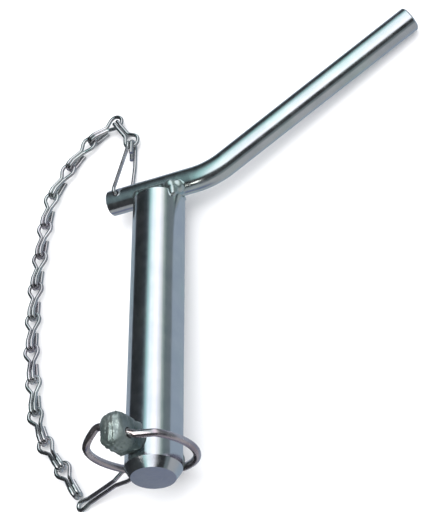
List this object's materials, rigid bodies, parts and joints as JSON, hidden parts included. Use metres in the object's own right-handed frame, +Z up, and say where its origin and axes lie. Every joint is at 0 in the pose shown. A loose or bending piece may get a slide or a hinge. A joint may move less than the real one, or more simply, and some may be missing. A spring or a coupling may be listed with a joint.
{
  "type": "hitch pin",
  "caption": "Bent handle hitch pin: a steel shank with a welded bent bar handle, a linch pin with a snap ring through its end, and a keeper chain.",
  "frame": {"origin": "on the shank's axis at its upper rim, where the full diameter starts under the handle", "axes": "+Z up from the floor the pin lies on; -Y along the shank towards the nose, which is raised about 4 degrees by the ring; +X towards the bent arm"},
  "size_m": [0.2169, 0.2252, 0.0512],
  "materials": {
    "plated_steel": "bright zinc plate over turned and drawn bar",
    "weld_metal": "zinc plated weld bead",
    "forged_steel": "dull zinc plate over a forged surface",
    "spring_wire": "zinc plated spring wire",
    "chain_wire": "zinc plated drawn wire"
  },
  "bodies": {
    "pin": {"shank": "plated_steel", "bent_handle": "plated_steel", "weld_front": "weld_metal", "weld_back": "weld_metal"},
    "linch_pin": {"linch_pin": "forged_steel"},
    "snap_ring": {"snap_ring": "spring_wire"},
    "top_clip": {"top_clip": "chain_wire"},
    "chain_link_01": {"chain_link_01": "chain_wire"},
    "chain_link_02": {"chain_link_02": "chain_wire"},
    "chain_link_03": {"chain_link_03": "chain_wire"},
    "chain_link_04": {"chain_link_04": "chain_wire"},
    "chain_link_05": {"chain_link_05": "chain_wire"},
    "chain_link_06": {"chain_link_06": "chain_wire"},
    "chain_link_07": {"chain_link_07": "chain_wire"},
    "chain_link_08": {"chain_link_08": "chain_wire"},
    "chain_link_09": {"chain_link_09": "chain_wire"},
    "chain_link_10": {"chain_link_10": "chain_wire"},
    "chain_link_11": {"chain_link_11": "chain_wire"},
    "chain_link_12": {"chain_link_12": "chain_wire"},
    "chain_link_13": {"chain_link_13": "chain_wire"},
    "chain_link_14": {"chain_link_14": "chain_wire"},
    "low_clip": {"low_clip": "chain_wire"}
  },
  "joints": [
    {"name": "linch_turn", "type": "hinge", "parent": "pin", "child": "linch_pin", "pos_m": [0.00011, -0.137, 0.00915], "axis": [0.2671, -0.064, -0.9615], "range_deg": [-40, 0]},
    {"name": "ring_swing", "type": "hinge", "parent": "linch_pin", "child": "snap_ring", "pos_m": [-0.00622, -0.13473, 0.03188], "axis": [-0.9048, 0.4219, -0.0581], "range_deg": [0, 180]},
    {"name": "clip_swivel", "type": "hinge", "parent": "pin", "child": "top_clip", "pos_m": [-0.02081, 0.00853, -0.00031], "axis": [0.0124, 0.0666, 0.9977], "range_deg": [-30, 0]},
    {"name": "link_01_flex", "type": "hinge", "parent": "top_clip", "child": "chain_link_01", "pos_m": [-0.01998, 0.04787, -0.00937], "axis": [-0.9998, 0.0209, 0], "range_deg": [-90, 90]},
    {"name": "link_02_flex", "type": "hinge", "parent": "chain_link_01", "child": "chain_link_02", "pos_m": [-0.0273, 0.06358, -0.00937], "axis": [0.8524, 0.523, 0], "range_deg": [-90, 90]},
    {"name": "link_03_flex", "type": "hinge", "parent": "chain_link_02", "child": "chain_link_03", "pos_m": [-0.0417, 0.06004, -0.00937], "axis": [0.4703, -0.8825, 0], "range_deg": [-90, 90]},
    {"name": "link_04_flex", "type": "hinge", "parent": "chain_link_03", "child": "chain_link_04", "pos_m": [-0.05457, 0.04797, -0.00937], "axis": [-0.7316, 0.6818, 0], "range_deg": [-90, 90]},
    {"name": "link_05_flex", "type": "hinge", "parent": "chain_link_04", "child": "chain_link_05", "pos_m": [-0.06462, 0.03334, -0.00937], "axis": [0.8451, -0.5346, 0], "range_deg": [-90, 90]},
    {"name": "link_06_flex", "type": "hinge", "parent": "chain_link_05", "child": "chain_link_06", "pos_m": [-0.06927, 0.01637, -0.00937], "axis": [-0.9817, 0.1905, 0], "range_deg": [-90, 90]},
    {"name": "link_07_flex", "type": "hinge", "parent": "chain_link_06", "child": "chain_link_07", "pos_m": [-0.07179, -0.00125, -0.00937], "axis": [0.9916, -0.1292, 0], "range_deg": [-90, 90]},
    {"name": "link_08_flex", "type": "hinge", "parent": "chain_link_07", "child": "chain_link_08", "pos_m": [-0.0738, -0.01893, -0.00937], "axis": [-0.9941, 0.1087, 0], "range_deg": [-90, 90]},
    {"name": "link_09_flex", "type": "hinge", "parent": "chain_link_08", "child": "chain_link_09", "pos_m": [-0.07486, -0.0367, -0.00937], "axis": [0.9989, -0.0468, 0], "range_deg": [-90, 90]},
    {"name": "link_10_flex", "type": "hinge", "parent": "chain_link_09", "child": "chain_link_10", "pos_m": [-0.07511, -0.05449, -0.00937], "axis": [-1, 0.0055, 0], "range_deg": [-90, 90]},
    {"name": "link_11_flex", "type": "hinge", "parent": "chain_link_10", "child": "chain_link_11", "pos_m": [-0.07375, -0.07222, -0.00937], "axis": [0.9952, 0.0978, 0], "range_deg": [-90, 90]},
    {"name": "link_12_flex", "type": "hinge", "parent": "chain_link_11", "child": "chain_link_12", "pos_m": [-0.07201, -0.08994, -0.00937], "axis": [-0.9952, -0.0978, 0], "range_deg": [-90, 90]},
    {"name": "link_13_flex", "type": "hinge", "parent": "chain_link_12", "child": "chain_link_13", "pos_m": [-0.06685, -0.10688, -0.00937], "axis": [0.9407, 0.3393, 0], "range_deg": [-90, 90]},
    {"name": "link_14_flex", "type": "hinge", "parent": "chain_link_13", "child": "chain_link_14", "pos_m": [-0.05793, -0.1222, -0.00937], "axis": [-0.8399, -0.5428, 0], "range_deg": [-90, 90]},
    {"name": "low_clip_swing", "type": "hinge", "parent": "snap_ring", "child": "low_clip", "pos_m": [-0.01786, -0.13519, -0.00631], "axis": [0.8045, -0.073, -0.5895], "range_deg": [-120, 0]}
  ]
}
